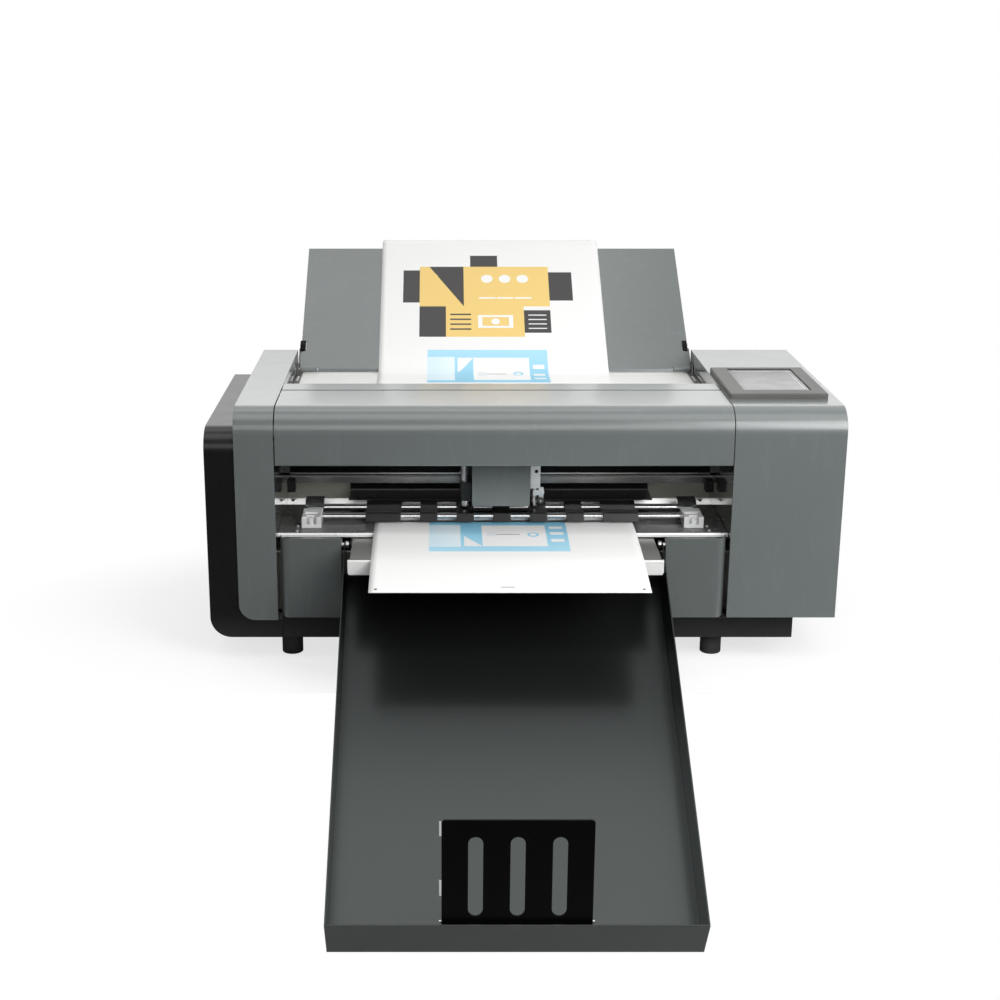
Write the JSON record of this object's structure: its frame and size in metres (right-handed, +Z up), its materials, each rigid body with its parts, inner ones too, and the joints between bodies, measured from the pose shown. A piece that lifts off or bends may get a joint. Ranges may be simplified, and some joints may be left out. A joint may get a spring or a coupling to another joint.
{
  "type": "cutting and creasing plotter",
  "caption": "Bench machine that feeds card from a rear panel past a creasing and a cutting tool on a belt-driven carriage into a sloping front tray, with hinged lid and touch screen.",
  "frame": {"origin": "on the bench plane, midway between the four feet; the tray hangs lower, in front of the bench edge", "axes": "+X to the right seen from the front, +Y to the back, against the sheet's way out, +Z up"},
  "size_m": [0.766, 1.0509, 0.5951],
  "materials": {
    "grey_paint": "satin grey-green powder coat",
    "light_paint": "satin light grey powder coat",
    "black_paint": "fine textured black powder coat",
    "rubber": "matte black rubber",
    "belt_rubber": "matte black rubber with moulded teeth",
    "steel": "plain bright steel",
    "chrome": "polished chrome plate",
    "aluminium": "anodised aluminium",
    "dark_steel": "ground dark steel",
    "plate_steel": "satin dark grey",
    "black_plastic": "moulded matte black",
    "grey_plastic": "moulded satin grey",
    "clear_plastic": "clear moulded acrylic",
    "gloss_black": "polished black surface",
    "glass": "cover glass over a dark display",
    "board": "green circuit board with parts",
    "card": "coated card",
    "bronze": "sintered bronze"
  },
  "bodies": {
    "chassis": {"base_frame": "black_paint", "rubber_feet": "rubber", "screws_and_pins": "steel", "side_plates": "plate_steel", "cross_rails": "plate_steel", "shaft_bearings": "bronze", "left_end_cover": "black_paint", "left_side_cover": "grey_paint", "right_housing": "grey_paint", "front_panels": "grey_paint", "rear_panel": "grey_paint", "rear_top_cover": "grey_paint", "front_table": "gloss_black", "cutting_strip": "black_plastic", "paper_guides": "black_paint", "guide_chute": "black_paint", "feed_chute": "light_paint", "feed_deck": "light_paint", "exit_ramp": "light_paint", "drive_belts": "belt_rubber", "stepper_motors": "black_paint", "front_bearing_blocks": "clear_plastic", "rear_bearing_blocks": "black_plastic", "rail_beam": "aluminium", "x_rail": "dark_steel", "rail_end_stops": "black_plastic", "screen_bezel": "grey_plastic", "screen_glass": "glass", "circuit_boards": "board", "feeder_brackets": "steel", "power_supply": "aluminium", "rear_sockets": "black_plastic", "exit_sheet": "card", "feed_sheet_lower": "card"},
    "lid": {"lid": "grey_paint"},
    "carriage": {"carriage_plate": "plate_steel", "carriage_cover": "grey_paint", "tool_solenoids": "steel"},
    "crease_holder": {"crease_sleeve": "grey_plastic", "crease_clamp": "black_plastic", "crease_tool": "steel"},
    "cut_holder": {"cut_slide": "aluminium", "cut_tool": "steel"},
    "clamp_screw": {"clamp_knob": "steel"},
    "front_drive": {"front_drive_rollers": "rubber"},
    "rear_drive": {"rear_drive_rollers": "rubber"},
    "front_pinch": {"front_pinch_shaft": "chrome", "front_pinch_rollers": "rubber"},
    "rear_pinch": {"rear_pinch_shaft": "chrome", "rear_pinch_rollers": "rubber"},
    "feed_rotor": {"feed_motor_pulley": "aluminium"},
    "carriage_rotor": {"x_motor_pulley": "aluminium"},
    "carriage_idler": {"x_idler_pulley": "aluminium"},
    "pickup": {"pickup_rollers": "rubber"},
    "feeder": {"feeder_panel": "grey_paint", "feed_sheet_upper": "card"},
    "tray": {"output_tray": "grey_paint", "stop_hinge": "steel"},
    "stop": {"tray_stop": "black_paint"},
    "rocker": {"power_rocker": "black_plastic"}
  },
  "joints": [
    {"name": "lid_hinge", "type": "hinge", "parent": "chassis", "child": "lid", "pos_m": [0, -0.078, 0.3105], "axis": [-1, 0, 0], "range_deg": [0, 100]},
    {"name": "carriage_slide", "type": "slide", "parent": "chassis", "child": "carriage", "axis": [1, 0, 0], "range_m": [-0.215, 0.215]},
    {"name": "crease_lift", "type": "slide", "parent": "carriage", "child": "crease_holder", "axis": [0, 0, -1], "range_m": [0, 0.01], "stiffness_N_per_m": 400, "springref_m": -0.005},
    {"name": "cut_lift", "type": "slide", "parent": "carriage", "child": "cut_holder", "axis": [0, 0, -1], "range_m": [0, 0.01], "stiffness_N_per_m": 400, "springref_m": -0.005},
    {"name": "clamp_knob_turn", "type": "hinge", "parent": "cut_holder", "child": "clamp_screw", "pos_m": [0.0488, -0.107, 0.181], "axis": [0, -1, 0], "range_deg": [0, 180]},
    {"name": "front_drive_spin", "type": "hinge", "parent": "chassis", "child": "front_drive", "pos_m": [0, -0.118, 0.1457], "axis": [1, 0, 0], "continuous": true},
    {"name": "rear_drive_spin", "type": "hinge", "parent": "chassis", "child": "rear_drive", "pos_m": [0, -0.079, 0.1457], "axis": [1, 0, 0], "continuous": true},
    {"name": "front_pinch_spin", "type": "hinge", "parent": "chassis", "child": "front_pinch", "pos_m": [0, -0.118, 0.16395], "axis": [1, 0, 0], "continuous": true},
    {"name": "rear_pinch_spin", "type": "hinge", "parent": "chassis", "child": "rear_pinch", "pos_m": [0, -0.079, 0.16395], "axis": [1, 0, 0], "continuous": true},
    {"name": "feed_motor_spin", "type": "hinge", "parent": "chassis", "child": "feed_rotor", "pos_m": [-0.29, -0.0985, 0.092], "axis": [1, 0, 0], "continuous": true},
    {"name": "carriage_motor_spin", "type": "hinge", "parent": "chassis", "child": "carriage_rotor", "pos_m": [0.315, -0.036, 0.245], "axis": [0, 0, 1], "range_deg": [-1030, 1030]},
    {"name": "carriage_idler_spin", "type": "hinge", "parent": "chassis", "child": "carriage_idler", "pos_m": [-0.258, -0.036, 0.245], "axis": [0, 0, 1], "range_deg": [-1030, 1030]},
    {"name": "pickup_spin", "type": "hinge", "parent": "chassis", "child": "pickup", "pos_m": [0, 0.0272, 0.2517], "axis": [1, 0, 0], "continuous": true},
    {"name": "feeder_fold", "type": "hinge", "parent": "chassis", "child": "feeder", "pos_m": [0, 0.167, 0.2908], "axis": [1, 0, 0], "range_deg": [0, 46]},
    {"name": "tray_lift", "type": "hinge", "parent": "chassis", "child": "tray", "pos_m": [0, -0.18, 0.147], "axis": [-1, 0, 0], "range_deg": [0, 30]},
    {"name": "stop_fold", "type": "hinge", "parent": "tray", "child": "stop", "pos_m": [0, -0.6098, -0.11101], "axis": [-1, 0, 0], "range_deg": [0, 80]},
    {"name": "power_rocker_tilt", "type": "hinge", "parent": "chassis", "child": "rocker", "pos_m": [0.36, 0.182, 0.09], "axis": [1, 0, 0], "range_deg": [0, 16]}
  ],
  "couplings": [
    {"joint": "rear_drive_spin", "follows": "front_drive_spin", "ratio": 1},
    {"joint": "front_pinch_spin", "follows": "front_drive_spin", "ratio": -2.2857},
    {"joint": "rear_pinch_spin", "follows": "front_drive_spin", "ratio": -2.2857},
    {"joint": "feed_motor_spin", "follows": "front_drive_spin", "ratio": 1.5556},
    {"joint": "carriage_motor_spin", "follows": "carriage_slide", "rad_per_m": 83.333},
    {"joint": "carriage_idler_spin", "follows": "carriage_slide", "rad_per_m": 83.333}
  ]
}
